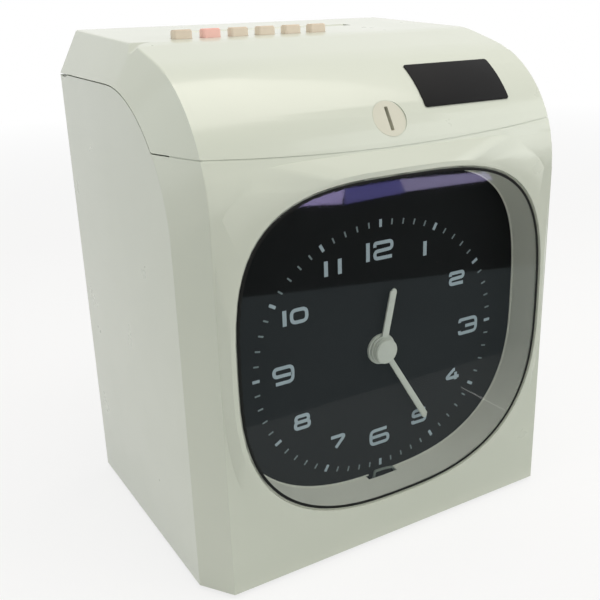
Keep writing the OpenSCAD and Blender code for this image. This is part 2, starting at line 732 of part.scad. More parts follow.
// Chassis: a floor plate with two cheeks that carry the rods, rollers and card guides
chassis_z = floor_z + 4;
cheek_x = half_w - drive_bay;
post_x = cheek_x - 5;
chassis_front = front_y + 51;
chassis_back = card_y + 14;
chassis_posts = [chassis_front + 10, chassis_back - 10];
plate_z = chassis_z + sheet;
feed_z = top_z - feed_drop;
rod_z = feed_z - rod_drop;
feed_y = card_y - feed_r - 0.25;
pinch_y = card_y + pinch_r + 0.25;
shaft_r = 2.5;
pinch_shaft_r = 2;
guide_t = 1.2;
front_guide_y = card_y - slot_gap / 2 - guide_t;
rear_guide_y = card_y + slot_gap / 2;
guide_rod_y = card_y - 44;
screw_y0 = card_y - 26;
screw_c = drive_m * (30 + 12) / 2;
feed_c = drive_m * (40 + 12) / 2;
screw_a = 225;
feed_a = 240;
screw_motor = [screw_y0 + screw_c * cos(screw_a), rod_z + screw_c * sin(screw_a)];
feed_motor_at = [feed_y + feed_c * cos(feed_a), feed_z + feed_c * sin(feed_a)];
ledge_z = rod_z + 19.5;
tab_z = [rod_z - 32, rod_z + 22];

module cheek_profile() {
  difference() {
    polygon([[chassis_front, chassis_z], [chassis_back, chassis_z], [chassis_back, feed_z + 12],
      [chassis_front + 20, feed_z + 12], [chassis_front, feed_z - 6]]);
    translate([(chassis_front + chassis_back) / 2, body_z + 80]) rounded_plate(44, 92, 8);
  }
}
module chassis() {
  color("lightgray") difference() {
    union() {
      block(-cheek_x - sheet, cheek_x + sheet, chassis_front, chassis_back, chassis_z, plate_z);
      both_sides() span_x(cheek_x, cheek_x + sheet) cheek_profile();
      both_sides() block(cheek_x - 10, cheek_x + 0.1, chassis_front, chassis_front + sheet, plate_z, rod_z - 18);
      both_sides() block(cheek_x - 10, cheek_x + 0.1, chassis_front + 4, guide_rod_y + 19, ledge_z - sheet, ledge_z);
    }
    for (s = [-1, 1], y = chassis_posts) translate([s * post_x, y, 0]) cylinder(r = 1.6, h = 30);
    translate([0, feed_y, feed_z]) rod_x(shaft_r + run_gap, -half_w, half_w);
    translate([0, pinch_y, feed_z]) rod_x(pinch_shaft_r + run_gap, -half_w, half_w);
    translate([0, guide_rod_y, rod_z]) rod_x(rod_r + 0.01, -half_w, half_w);
    translate([0, screw_y0, rod_z]) rod_x(rod_r + run_gap, -half_w, half_w);
  }
}
module chassis_screws() {
  color("silver") for (s = [-1, 1], y = chassis_posts) translate([s * post_x, y, 0]) {
    translate([0, 0, floor_z + 0.5]) cylinder(r = boss_hole - 0.05, h = plate_z - floor_z - 0.5);
    translate([0, 0, plate_z]) cylinder(r = 2.7, h = 1.5);
  }
}

// Card guides: the front one has side rails and the card stop
guide_x = slot_w / 2 + 2;
guide_z0 = body_z + stop_h;
guide_z1 = panel_at(card_y) - wall - 3;
print_z = [rod_z + 7, rod_z + 19];
print_x = carriage_travel + 12;
module roller_windows() {
  for (s = [-1, 1]) block(s * roller_gap / 2 - 7, s * roller_gap / 2 + 7, card_y - 12, card_y + 12,
    feed_z - 9, feed_z + 9);
}
module card_guide_front() {
  color("silver") difference() {
    union() {
      block(-guide_x, guide_x, front_guide_y, front_guide_y + guide_t, guide_z0, guide_z1);
      both_sides() block(guide_x - 2, guide_x, front_guide_y, rear_guide_y, guide_z0, guide_z1);
      block(-guide_x, guide_x, front_guide_y, rear_guide_y, guide_z0, guide_z0 + 2);
      both_sides() for (z = tab_z)
        block(guide_x - 1, cheek_x, front_guide_y, front_guide_y + guide_t, z, z + 9);
    }
    block(-print_x, print_x, front_guide_y - 1, card_y, print_z[0], print_z[1]);
    intersection() {
      roller_windows();
      block(-half_w, half_w, front_guide_y - 1, card_y, 0, top_z);
    }
  }
}
module card_guide_rear() {
  color("silver") difference() {
    block(-guide_x, guide_x, rear_guide_y, rear_guide_y + guide_t, guide_z0, guide_z1);
    block(-print_x, print_x, card_y, rear_guide_y + guide_t + 1, print_z[0], print_z[1]);
    roller_windows();
  }
}
module platen_bar() {
  color("dimgray") {
    block(-print_x + 0.5, print_x - 0.5, rear_guide_y - 0.4, rear_guide_y + 4, print_z[0] + 1, print_z[1] - 1);
    block(-print_x - 4, print_x + 4, rear_guide_y + guide_t, rear_guide_y + guide_t + 2,
      print_z[0] - 2, print_z[1] + 2);
  }
}

// Feed train: rubber rollers on shafts, gear, pinion and motor outside the left cheek
gear_x0 = cheek_x + sheet + 2.5;
gear_x1 = gear_x0 + 4;
module feed_roller() {
  color("gray") translate([0, feed_y, feed_z]) {
    rod_x(shaft_r, -gear_x1 - 0.5, cheek_x + sheet + 0.5);
    for (s = [-1, 1]) rod_x(feed_r, s * roller_gap / 2 - 6, s * roller_gap / 2 + 6);
  }
}
module pinch_roller() {
  color("gray") translate([0, pinch_y, feed_z]) {
    rod_x(pinch_shaft_r, -cheek_x - sheet - 0.5, cheek_x + sheet + 0.5);
    for (s = [-1, 1]) rod_x(pinch_r, s * roller_gap / 2 - 6, s * roller_gap / 2 + 6);
  }
}
module feed_gear() {
  color("white") translate([0, feed_y, feed_z]) difference() {
    gear_x(40, -gear_x1, -gear_x0, feed_a);
    rod_x(shaft_r + 0.01, -gear_x1 - 1, -gear_x0 + 1);
    for (a = [0:60:300]) rotate([a, 0, 0]) translate([0, 9, 0]) rod_x(3, -gear_x1 - 1, -gear_x0 + 1);
  }
}
module motor_body(at, posts, x0) {
  difference() {
    union() {
      translate([0, at[0], at[1]]) {
        rod_x(12, x0, x0 + 24);
        rod_x(4, x0 - 0.8, x0);
      }
      span_x(x0, x0 + 1.5) translate(at) rotate(posts) union() {
        translate([0, -5]) square([30, 12], center = true);
        circle(12.6);
      }
      for (s = [-1, 1]) translate([0, at[0], at[1]]) rotate([posts, 0, 0]) translate([0, 12 * s, -8])
        rod_x(2.2, cheek_x + sheet, x0 + 1);
    }
    translate([0, at[0], at[1]]) rod_x(1 + run_gap, x0 - 2, x0 + 14);
  }
}
module motor_shaft(at, z, turn, x0) {
  translate([0, at[0], at[1]]) {
    rod_x(1, gear_x0 - 0.5, x0 + 13);
    gear_x(z, gear_x0 - 0.5, gear_x1 - 0.2, turn);
  }
}
motor_x0 = gear_x1 + 1.5;
module feed_motor() { color("silver") mirror([1, 0, 0]) motor_body(feed_motor_at, -20, motor_x0); }
module feed_pinion() {
  color("gold") mirror([1, 0, 0]) motor_shaft(feed_motor_at, 12, feed_a + 180 + 15, motor_x0);
}

// Carriage drive: fixed rod, lead screw, gear, pinion and motor outside the right cheek
module guide_rod() {
  color("silver") translate([0, guide_rod_y, rod_z]) rod_x(rod_r, -cheek_x - sheet - 1, cheek_x + sheet + 1);
}
module lead_screw() {
  color("silver") translate([0, screw_y0, rod_z]) rod_x(rod_r, -cheek_x - sheet - 1, gear_x1 + 0.5);
}
module screw_gear() {
  color("white") translate([0, screw_y0, rod_z]) difference() {
    gear_x(30, gear_x0, gear_x1, screw_a);
    rod_x(rod_r + 0.01, gear_x0 - 1, gear_x1 + 1);
  }
}
module carriage_motor() { color("silver") motor_body(screw_motor, -10, motor_x0); }
module carriage_pinion() { color("gold") motor_shaft(screw_motor, 12, screw_a + 180 + 15, motor_x0); }

module print_carriage() {
  color("dimgray") difference() {
    across(carriage_w) polygon([[guide_rod_y - 7, rod_z - 6], [guide_rod_y - 5, rod_z - 8],
      [screw_y0 + 5, rod_z - 8], [screw_y0 + 7, rod_z - 6], [screw_y0 + 7, rod_z + 5],
      [screw_y0 + 5, rod_z + 7], [guide_rod_y - 5, rod_z + 7], [guide_rod_y - 7, rod_z + 5]]);
    translate([0, guide_rod_y, rod_z]) rod_x(rod_r + run_gap, -carriage_w, carriage_w);
    translate([0, screw_y0, rod_z]) rod_x(rod_r + run_gap, -carriage_w, carriage_w);
  }
}
head_y = front_guide_y - 0.9;
module print_head() {
  color("black") difference() {
    union() {
      block(-9, 9, guide_rod_y - 4, head_y - 13, rod_z + 7, rod_z + 18.5);
      translate([0, 0, rod_z + 8.5]) linear_extrude(8.5) polygon([[-9, head_y - 13.1], [9, head_y - 13.1],
        [4, head_y - 8], [4, head_y], [-4, head_y], [-4, head_y - 8]]);
    }
    for (k = [0:4]) block(-10, 10, guide_rod_y - 1 + 4 * k, guide_rod_y + 1 + 4 * k, rod_z + 12, rod_z + 20);
  }
}

// Ribbon cassette over the carriage, its ribbon between two arms in front of the card
box_z0 = ledge_z;
box_z1 = ledge_z + 13;
box_x = cheek_x - 8;
knob_at = [-box_x + 14, guide_rod_y - 14];
module ribbon_cassette() {
  color("dimgray") difference() {
    union() {
      translate([0, guide_rod_y - 2, box_z0]) linear_extrude(box_z1 - box_z0) rounded_plate(2 * box_x, 56, 5);
      both_sides() {
        block(box_x - 8, box_x, guide_rod_y + 20, front_guide_y - 0.7, box_z0 - 10, box_z1 - 3);
      }
      block(-box_x + 4, box_x - 4, front_guide_y - 0.7, front_guide_y - 0.4, box_z0 - 10, box_z0 - 2);
    }
    translate([knob_at[0], knob_at[1], box_z0 + 4]) cylinder(r = 2 + run_gap, h = 20);
  }
}
module ribbon_knob() {
  color("white") translate([knob_at[0], knob_at[1], 0]) difference() {
    union() {
      translate([0, 0, box_z1 + free_gap]) cylinder(r = 7, h = 5);
      translate([0, 0, box_z0 + 5]) cylinder(r = 2, h = box_z1 - box_z0 - 3);
    }
    for (a = [0:30:330]) rotate(a) translate([7.6, 0, box_z1]) cylinder(r = 1.2, h = 8);
  }
}

// Electronics
board_y = chassis_front - board_t;
module main_board() {
  color("green") {
    block(-cheek_x + 4, cheek_x - 4, board_y, chassis_front, body_z + 18, rod_z - 22);
    block(-20, -2, board_y - 2.5, board_y, body_z + 76, body_z + 94);
    block(10, 34, board_y - 4, board_y, body_z + 50, body_z + 57);
    block(-48, -34, board_y - 12, board_y, body_z + 22, body_z + 40);
    for (x = [-26, -10, 6]) translate([x, 0, body_z + 30]) rod_y(5, board_y - 13, board_y);
    for (k = [0:4]) block(-50, -42, board_y - 7, board_y, body_z + 62 + 13 * k, body_z + 72 + 13 * k);
  }
}
module transformer() {
  color("saddlebrown") {
    block(-50, 2, card_y - 24, card_y - 2, plate_z, plate_z + 1.5);
    block(-46, -2, card_y - 24, card_y - 2, plate_z, plate_z + 40);
    translate([-24, card_y - 13, plate_z + 6]) linear_extrude(28) rounded_plate(28, 38, 5);
  }
}
module battery_pack() {
  color("steelblue") {
    block(6, post_x - 7, card_y - 32, card_y + 11, plate_z, plate_z + 2);
    for (y = [card_y - 25, card_y - 10.5, card_y + 4]) translate([0, y, plate_z + 8])
      rod_x(7, 7, post_x - 8);
  }
}
module buzzer() {
  color("black") translate([cheek_x - 16, 0, body_z + 30]) difference() {
    rod_y(6, board_y - 7, board_y);
    rod_y(1.5, board_y - 8, board_y - 5);
  }
}

base_shell();
rear_panel();
rear_screws();
feet();
window_lens();
bezel_liner();
dial_plate();
dial_screws();
movement_plate();
movement_cover();
centre_nut();
minute_wheel();
hour_wheel();
hour_hand();
minute_arbor();
minute_hand();
hand_cap();
step_motor();
motor_pinion();
top_cover();
hinge_pins();
key_1();
key_2();
key_3();
key_4();
key_5();
key_6();
key_board();
lock_barrel();
lock_cam();
lock_nut();
lock_catch();
chassis();
chassis_screws();
card_guide_front();
card_guide_rear();
platen_bar();
feed_roller();
feed_gear();
pinch_roller();
feed_motor();
feed_pinion();
guide_rod();
lead_screw();
screw_gear();
carriage_motor();
carriage_pinion();
print_carriage();
print_head();
ribbon_cassette();
ribbon_knob();
main_board();
transformer();
battery_pack();
buzzer();
cord_gland();
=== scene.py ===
import json
import math
import bpy
import bmesh
from mathutils import Matrix, Vector


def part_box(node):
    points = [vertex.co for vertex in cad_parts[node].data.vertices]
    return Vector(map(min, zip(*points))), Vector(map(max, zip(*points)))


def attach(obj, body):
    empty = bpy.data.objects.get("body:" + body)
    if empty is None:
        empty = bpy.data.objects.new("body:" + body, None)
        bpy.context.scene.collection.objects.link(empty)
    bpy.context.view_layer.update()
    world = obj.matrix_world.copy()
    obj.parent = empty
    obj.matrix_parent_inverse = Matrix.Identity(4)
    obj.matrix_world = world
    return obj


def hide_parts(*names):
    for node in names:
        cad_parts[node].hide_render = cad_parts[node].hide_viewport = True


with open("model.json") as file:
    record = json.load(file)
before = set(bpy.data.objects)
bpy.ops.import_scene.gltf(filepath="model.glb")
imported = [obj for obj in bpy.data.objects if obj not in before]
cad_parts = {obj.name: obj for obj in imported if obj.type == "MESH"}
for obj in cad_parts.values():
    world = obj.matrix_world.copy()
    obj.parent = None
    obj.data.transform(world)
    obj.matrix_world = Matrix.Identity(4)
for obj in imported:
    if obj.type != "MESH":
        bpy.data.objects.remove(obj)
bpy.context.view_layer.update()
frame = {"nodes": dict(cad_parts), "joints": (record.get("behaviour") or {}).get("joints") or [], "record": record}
nodes = frame["nodes"]
mm = 0.001
print("frame loaded:", len(nodes), "nodes")


# the camera, solved from the dial marks and the straight edges in the photograph
view = {
    "place": (-0.21525, -0.3516, 0.2478),
    "right": (0.86179, -0.50618, -0.03325),
    "down": (-0.19416, -0.26858, -0.94349),
    "ahead": (0.46864, 0.81954, -0.32974),
    "focalPixels": 827.344,
    "centrePixels": (294.248, 298.926),
    "framePixels": 600,
    "sensorWidth": 36,
    "clipStart": 0.01,
}


def placeCamera():
    size = view["framePixels"]
    data = bpy.data.cameras.new("camera")
    data.sensor_width = view["sensorWidth"]
    data.lens = view["focalPixels"] * view["sensorWidth"] / size
    data.shift_x = (size / 2 - view["centrePixels"][0]) / size
    data.shift_y = (view["centrePixels"][1] - size / 2) / size
    data.clip_start = view["clipStart"]
    camera = bpy.data.objects.new("camera", data)
    bpy.context.scene.collection.objects.link(camera)
    axes = (Vector(view["right"]), -Vector(view["down"]), -Vector(view["ahead"]))
    turn = Matrix(axes).transposed().to_4x4()
    camera.matrix_world = Matrix.Translation(view["place"]) @ turn
    bpy.context.scene.camera = camera


placeCamera()
bpy.context.scene.view_settings.view_transform = "Standard"
print("camera done")


class Signal:
    # a socket that takes part in sums
    def __init__(self, finish, socket):
        self.finish, self.socket = finish, socket

    def combine(self, kind, first, second=None, **settings):
        values = {0: first} if second is None else {0: first, 1: second}
        return self.finish.add("Math", {"operation": kind, **settings}, values)

    def __add__(self, other):
        return self.combine("ADD", self, other)

    def __mul__(self, other):
        return self.combine("MULTIPLY", self, other)

    def __sub__(self, other):
        return self.combine("SUBTRACT", self, other)

    def __rsub__(self, other):
        return self.combine("SUBTRACT", other, self)

    def __pow__(self, other):
        return self.combine("POWER", self, other)

    __radd__ = __add__
    __rmul__ = __mul__

    def above(self, edge):
        return self.combine("GREATER_THAN", self, edge)

    def wave(self):
        return self.combine("SINE", self)

    def clear(self):
        # kept between 0 and 1
        return self.combine("ADD", self, 0.0, use_clamp=True)


class Finish:
    # the shader nodes of a material, or of the world
    def __init__(self, owner):
        owner.use_nodes = True
        self.owner, self.tree, self.place = owner, owner.node_tree, None
        self.tree.nodes.clear()

    def add(self, kind, settings=None, values=None, out=0):
        node = self.tree.nodes.new("ShaderNode" + kind)
        for key, value in (settings or {}).items():
            setattr(node, key, value)
        for key, value in (values or {}).items():
            self.feed(node.inputs[key], value)
        return Signal(self, node.outputs[out]) if len(node.outputs) else node

    def feed(self, socket, value):
        if isinstance(value, Signal):
            self.tree.links.new(value.socket, socket)
        else:
            socket.default_value = value

    def axes(self):
        split = self.add("SeparateXYZ", values={0: self.place}).socket.node
        return [Signal(self, out) for out in split.outputs]

    def noise(self, scale, detail=2.0, roughness=0.5, place=None):
        values = {"Vector": place or self.place, "Scale": scale, "Detail": detail, "Roughness": roughness}
        return self.add("TexNoise", {"noise_dimensions": "3D"}, values, "Fac")

    def blendColour(self, mask, first, second):
        # a Mix node has its factor and colours at inputs 0, 6 and 7, and gives the colour at 2
        return self.add("Mix", {"data_type": "RGBA"}, {0: mask, 6: first, 7: second}, 2)

    def bump(self, height, strength, depth):
        return self.add("Bump", values={"Height": height, "Strength": strength, "Distance": depth})

    def show(self, shader):
        kind = "OutputWorld" if isinstance(self.owner, bpy.types.World) else "OutputMaterial"
        self.add(kind, values={"Surface": shader})
        return self.owner

    def done(self, **sockets):
        values = {key.replace("_", " "): value for key, value in sockets.items()}
        return self.show(self.add("BsdfPrincipled", values=values))


def newFinish(name):
    finish = Finish(bpy.data.materials.new(name))
    finish.place = finish.add("TexCoord", out="Object")
    return finish


def shade(r, g, b):
    # a colour given as it looks on a screen, 0 to 255, turned to linear
    def line(v):
        v /= 255
        return v / 12.92 if v <= 0.04045 else ((v + 0.055) / 1.055) ** 2.4
    return (line(r), line(g), line(b), 1.0)


# moulded plastic: noise scales are per metre, depths in metres
plasticLook = {
    "driftScale": 9,
    "driftStart": 0.3,
    "driftGain": 1.6,
    "peelScale": 55,
    "cloudScale": 38,
    "cloudGloss": 0.14,
    "coatRough": 0.08,
    "reliefDepth": 0.001,
}


def plastic(name, colour, second, rough=0.4, coat=0.0, grain=0.012, grainScale=900, peel=0.0, shine=0.5):
    # a slow drift of colour, clouds of gloss, fine grain and a slight orange peel
    look = plasticLook
    finish = newFinish(name)
    drift = finish.noise(look["driftScale"], 3.0, 0.55)
    fine = finish.noise(grainScale, 2.0)
    waves = finish.noise(look["peelScale"], 1.0)
    mask = (drift - look["driftStart"]) * look["driftGain"]
    base = finish.blendColour(mask, shade(*colour), shade(*second))
    roughness = rough + (finish.noise(look["cloudScale"], 4.0, 0.6) - 0.5) * look["cloudGloss"]
    normal = finish.bump(fine * grain + waves * peel, 1.0, look["reliefDepth"])
    return finish.done(Base_Color=base, Roughness=roughness.clear(), Normal=normal, Coat_Weight=coat,
                       Coat_Roughness=look["coatRough"], Specular_IOR_Level=shine)


metalLook = {
    "lineScale": 60,
    "lineGloss": 0.25,
    "lineStrength": 0.12,
    "lineDepth": 0.0002,
    "cloudScale": 25,
    "cloudGloss": 0.12,
}


def metal(name, colour, second, rough, stretch):
    # rolled or turned metal, in linear colours, with fine drawn lines along one axis
    look = metalLook
    finish = newFinish(name)
    values = {"Vector": finish.place, "Scale": stretch}
    stretched = finish.add("Mapping", {"vector_type": "POINT"}, values, "Vector")
    lines = finish.noise(look["lineScale"], 3.0, 0.6, stretched)
    cloud = finish.noise(look["cloudScale"], 3.0)
    base = finish.blendColour(cloud, (*colour, 1), (*second, 1))
    gloss = rough + (lines - 0.5) * look["lineGloss"] + (cloud - 0.5) * look["cloudGloss"]
    normal = finish.bump(lines, look["lineStrength"], look["lineDepth"])
    return finish.done(Base_Color=base, Roughness=gloss.clear(), Metallic=1.0, Normal=normal)


# in the looks below, a relief holds the strength and the depth of its bump
boardLook = {
    "pitch": 1300,
    "waverScale": 130,
    "waver": 6,
    "trackEdge": 0.35,
    "lacquer": (16, 74, 44),
    "tracks": (34, 104, 62),
    "rough": 0.32,
    "trackRough": 0.08,
    "trackRelief": (0.3, 0.0002),
}


def boardFinish():
    # green board: copper tracks under the lacquer on a square grid
    look = boardLook
    finish = newFinish("circuitBoard")
    across, _, up = finish.axes()
    waver = finish.noise(look["waverScale"], 0.0) * look["waver"]
    columns = (across * look["pitch"] + waver).wave()
    rows = (up * look["pitch"] + waver).wave()
    tracks = (columns * rows).above(look["trackEdge"])
    base = finish.blendColour(tracks, shade(*look["lacquer"]), shade(*look["tracks"]))
    roughness = look["rough"] + tracks * look["trackRough"]
    normal = finish.bump(tracks, *look["trackRelief"])
    return finish.done(Base_Color=base, Roughness=roughness, Normal=normal)


coreLook = {
    # one plate is one wave: its turn per metre at a pitch of 1 mm, and its pitch in mm
    "waveTurn": 6283,
    "platePitch": 0.7,
    "cloudScale": 60,
    "light": (92, 88, 84),
    "dark": (58, 54, 52),
    "rough": 0.45,
    "plateRough": 0.2,
    "plateRelief": (0.5, 0.0003),
    "metallic": 0.7,
}


def coreFinish():
    # stacked core plates: thin dark lines across the stack
    look = coreLook
    finish = newFinish("plateStack")
    across = finish.axes()[0]
    plates = (across * (look["waveTurn"] / look["platePitch"])).wave() * 0.5 + 0.5
    mask = plates * finish.noise(look["cloudScale"])
    base = finish.blendColour(mask, shade(*look["light"]), shade(*look["dark"]))
    roughness = look["rough"] + plates * look["plateRough"]
    normal = finish.bump(plates, *look["plateRelief"])
    return finish.done(Base_Color=base, Roughness=roughness, Metallic=look["metallic"], Normal=normal)


wrapLook = {
    "foldScale": 90,
    "light": (40, 84, 150),
    "dark": (32, 70, 130),
    "rough": 0.25,
    "foldRough": 0.15,
    "foldRelief": (0.4, 0.0006),
}


def wrapFinish():
    # shrink wrap over the cells: soft wrinkles
    look = wrapLook
    finish = newFinish("cellWrap")
    folds = finish.noise(look["foldScale"], 3.0, 0.6)
    base = finish.blendColour(folds, shade(*look["light"]), shade(*look["dark"]))
    roughness = look["rough"] + folds * look["foldRough"]
    normal = finish.bump(folds, *look["foldRelief"])
    return finish.done(Base_Color=base, Roughness=roughness, Normal=normal)


lensLook = {
    "rippleScale": 14,
    "rippleRelief": (0.5, 0.0001),
    "mirrorRough": 0.03,
    "tint": (0.93, 0.94, 0.94, 1),
    # share of mirror straight on and at a glancing angle, and how late it rises
    "straight": 0.045,
    "glancing": 0.95,
    "rise": 5,
}


def lensFinish():
    # clear window: shows what is behind it, mirrors at a glancing angle
    look = lensLook
    finish = newFinish("clearWindow")
    ripple = finish.bump(finish.noise(look["rippleScale"], 1.0), *look["rippleRelief"])
    shine = {"Color": (1, 1, 1, 1), "Roughness": look["mirrorRough"], "Normal": ripple}
    mirror = finish.add("BsdfGlossy", values=shine)
    through = finish.add("BsdfTransparent", values={"Color": look["tint"]})
    facing = finish.add("LayerWeight", values={"Blend": 0.5, "Normal": ripple}, out="Facing")
    front = 1 - finish.add("NewGeometry", out="Backfacing")
    share = (look["straight"] + (facing ** look["rise"]) * look["glancing"]) * front
    return finish.show(finish.add("MixShader", values={0: share, 1: through, 2: mirror}))


finishes = {
    # a plastic has a name, two colours, roughness, coat, and the depth and scale of its grain
    "shell": plastic("shellPlastic", (204, 209, 195), (196, 202, 187), 0.3, 0.35, 0.01, 1100, peel=0.02),
    "liner": plastic("linerPlastic", (222, 224, 212), (213, 215, 203), 0.5),
    "dial": plastic("dialBlack", (15, 17, 18), (11, 13, 14), 0.6, 0, 0.0004, 500, shine=0.15),
    "ink": plastic("dialInk", (174, 190, 198), (162, 179, 188), 0.55, 0, 0.001, 700),
    "faintInk": plastic("dialInkFaint", (126, 140, 142), (112, 126, 128), 0.6, 0, 0.001, 700),
    "hand": plastic("handCream", (214, 219, 208), (203, 208, 197), 0.42),
    "gasket": plastic("gasketBlack", (22, 22, 19), (16, 16, 14), 0.5, shine=0.2),
    "tab": plastic("tabGrey", (132, 142, 134), (122, 132, 124), 0.35),
    "badge": plastic("plateBlack", (14, 14, 15), (19, 19, 20), 0.55, 0, 0.004, 900, shine=0.12),
    "keyPlain": plastic("keyGrey", (236, 222, 203), (227, 212, 193), 0.42),
    "keyRed": plastic("keyRed", (255, 208, 197), (252, 198, 187), 0.42),
    "lock": plastic("lockPlastic", (206, 205, 189), (199, 198, 181), 0.4),
    "rubber": plastic("rubberBlack", (28, 28, 28), (36, 35, 34), 0.8, 0, 0.03, 700),
    "nylon": plastic("gearNylon", (232, 229, 216), (222, 219, 205), 0.45),
    "black": plastic("blackPlastic", (26, 26, 28), (34, 34, 36), 0.45),
    "guide": plastic("guidePlastic", (116, 118, 118), (106, 108, 108), 0.5),
    "movement": plastic("movementPlastic", (150, 144, 120), (140, 134, 110), 0.5),
    # a metal has a name, two colours, roughness and the stretch of its lines
    "steel": metal("turnedSteel", (0.62, 0.63, 0.64), (0.52, 0.53, 0.55), 0.28, (1, 40, 40)),
    "zinc": metal("zincSheet", (0.66, 0.67, 0.68), (0.55, 0.57, 0.6), 0.38, (40, 1, 40)),
    "brass": metal("gearBrass", (0.78, 0.6, 0.28), (0.68, 0.5, 0.22), 0.3, (40, 40, 1)),
    "board": boardFinish(),
    "core": coreFinish(),
    "wrap": wrapFinish(),
    "lens": lensFinish(),
}

# which CAD nodes wear which finish; the others are steel
wear = {
    "shell": ("base_shell", "rear_panel", "top_cover"),
    "liner": ("bezel_liner",),
    "dial": ("dial_plate",),
    "lens": ("window_lens",),
    "hand": ("hour_hand", "minute_hand", "hand_cap", "centre_nut"),
    "keyPlain": ("key_1", "key_3", "key_4", "key_5", "key_6"),
    "keyRed": ("key_2",),
    "lock": ("lock_barrel",),
    "rubber": ("feet", "cord_gland", "platen_bar", "feed_roller", "pinch_roller"),
    "nylon": ("feed_gear", "screw_gear", "ribbon_knob"),
    "black": ("step_motor", "buzzer", "print_head", "print_carriage", "ribbon_cassette"),
    "guide": ("card_guide_front", "card_guide_rear"),
    "movement": ("movement_plate", "movement_cover"),
    "brass": ("minute_wheel", "hour_wheel", "minute_arbor", "motor_pinion", "feed_pinion",
              "carriage_pinion"),
    "zinc": ("chassis", "lock_catch", "lock_cam"),
    "board": ("key_board", "main_board"),
    "core": ("transformer",),
    "wrap": ("battery_pack",),
}


def wearFinish(piece, material):
    piece.data.materials.clear()
    piece.data.materials.append(material)


def dress():
    worn = {node: kind for kind, names in wear.items() for node in names}
    for name, node in nodes.items():
        wearFinish(node, finishes[worn.get(name, "steel")])


dress()
print("materials done")


# shared by the modelling helpers: angles in degrees, lengths in mm
shaping = {
    "smoothAngle": 30,
    # edges sharper than this are softened, in this many steps
    "softAngle": 52,
    "softSteps": 2,
    "cornerSteps": 4,
    # a CAD copy: points this near are one, and faces this even are joined
    "mergeGap": 0.02,
    "flatAngle": 0.6,
    # the corner of a path: steps of its arc, and the most of each side that it takes
    "arcSteps": 6,
    "arcShare": 0.49,
}


def clearPick():
    if bpy.context.object and bpy.context.object.mode != "OBJECT":
        bpy.ops.object.mode_set(mode="OBJECT")
    bpy.ops.object.select_all(action="DESELECT")


def pick(*things):
    clearPick()
    for thing in things:
        thing.select_set(True)
    bpy.context.view_layer.objects.active = things[-1]


def editAll(piece):
    pick(piece)
    bpy.ops.object.mode_set(mode="EDIT")
    bpy.ops.mesh.select_all(action="SELECT")


def settle(piece):
    # leaves the piece at the origin, with its place in its mesh
    pick(piece)
    bpy.ops.object.transform_apply(location=True, rotation=True, scale=True)


def applyModifier(piece, kind, **settings):
    pick(piece)
    modifier = piece.modifiers.new(kind.lower(), kind)
    for key, value in settings.items():
        setattr(modifier, key, value)
    bpy.ops.object.modifier_apply(modifier=modifier.name)


def softenEdges(piece, width):
    applyModifier(piece, "BEVEL", width=width * mm, segments=shaping["softSteps"], limit_method="ANGLE",
                  angle_limit=math.radians(shaping["softAngle"]))


def copied(piece):
    twin = piece.copy()
    twin.data = piece.data.copy()
    bpy.context.scene.collection.objects.link(twin)
    return twin


def joined(name, things):
    pick(*things)
    bpy.ops.object.join()
    piece = bpy.context.object
    piece.name = piece.data.name = name
    return piece


def addPiece(piece, name, finish, body="housing"):
    piece.name = piece.data.name = name
    settle(piece)
    bpy.ops.object.shade_smooth_by_angle(angle=math.radians(shaping["smoothAngle"]))
    wearFinish(piece, finishes[finish])
    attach(piece, body)


def mergedCopy(node, name):
    # a free copy of a CAD node, with its triangles merged back to whole faces
    piece = copied(nodes[node])
    piece.parent = None
    for key in list(piece.keys()):
        del piece[key]
    piece.name = piece.data.name = name
    pick(piece)
    bpy.ops.mesh.customdata_custom_splitnormals_clear()
    editAll(piece)
    bpy.ops.mesh.remove_doubles(threshold=shaping["mergeGap"] * mm)
    bpy.ops.mesh.dissolve_limited(angle_limit=math.radians(shaping["flatAngle"]))
    bpy.ops.object.mode_set(mode="OBJECT")
    return piece


def takePlaceOf(piece, node):
    wearFinish(piece, nodes[node].data.materials[0])
    body = [b for b, group in frame["record"]["behaviour"]["bodies"].items() if node in group][0]
    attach(piece, body)
    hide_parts(node)


def roundedPath(points, radius, closed=False):
    # the same path with each corner turned into a short arc
    count, steps = len(points), shaping["arcSteps"]
    path = []
    for i, point in enumerate(points):
        here = Vector(point)
        if not closed and i in (0, count - 1):
            path.append(here)
            continue
        before = Vector(points[i - 1]) - here
        after = Vector(points[(i + 1) % count]) - here
        cut = min(radius, before.length * shaping["arcShare"], after.length * shaping["arcShare"])
        first, last = here + before.normalized() * cut, here + after.normalized() * cut
        for k in range(steps + 1):
            t = k / steps
            path.append(first.lerp(here, t).lerp(here.lerp(last, t), t))
    return path


def inkStroke(path, width, closed, face):
    # a flat ribbon along a path of [x, z] points on a face that looks to -Y
    bpy.ops.curve.primitive_nurbs_path_add()
    line = bpy.context.object
    line.data.splines.clear()
    line.data.dimensions = "3D"
    line.data.twist_mode = "Z_UP"
    line.data.extrude = width / 2 * mm
    spline = line.data.splines.new("POLY")
    spline.points.add(len(path) - 1)
    for point, (x, z) in zip(spline.points, path):
        point.co = (x * mm, z * mm, 0, 1)
        point.tilt = math.pi / 2
    spline.use_cyclic_u = closed
    line.matrix_world = Matrix.Translation((0, face * mm, 0)) @ Matrix.Rotation(math.pi / 2, 4, "X")
    pick(line)
    bpy.ops.object.convert(target="MESH")
    return bpy.context.object


# places that the frame gives, in mm
def frontOf(node):
    return round(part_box(node)[0].y / mm, 3)


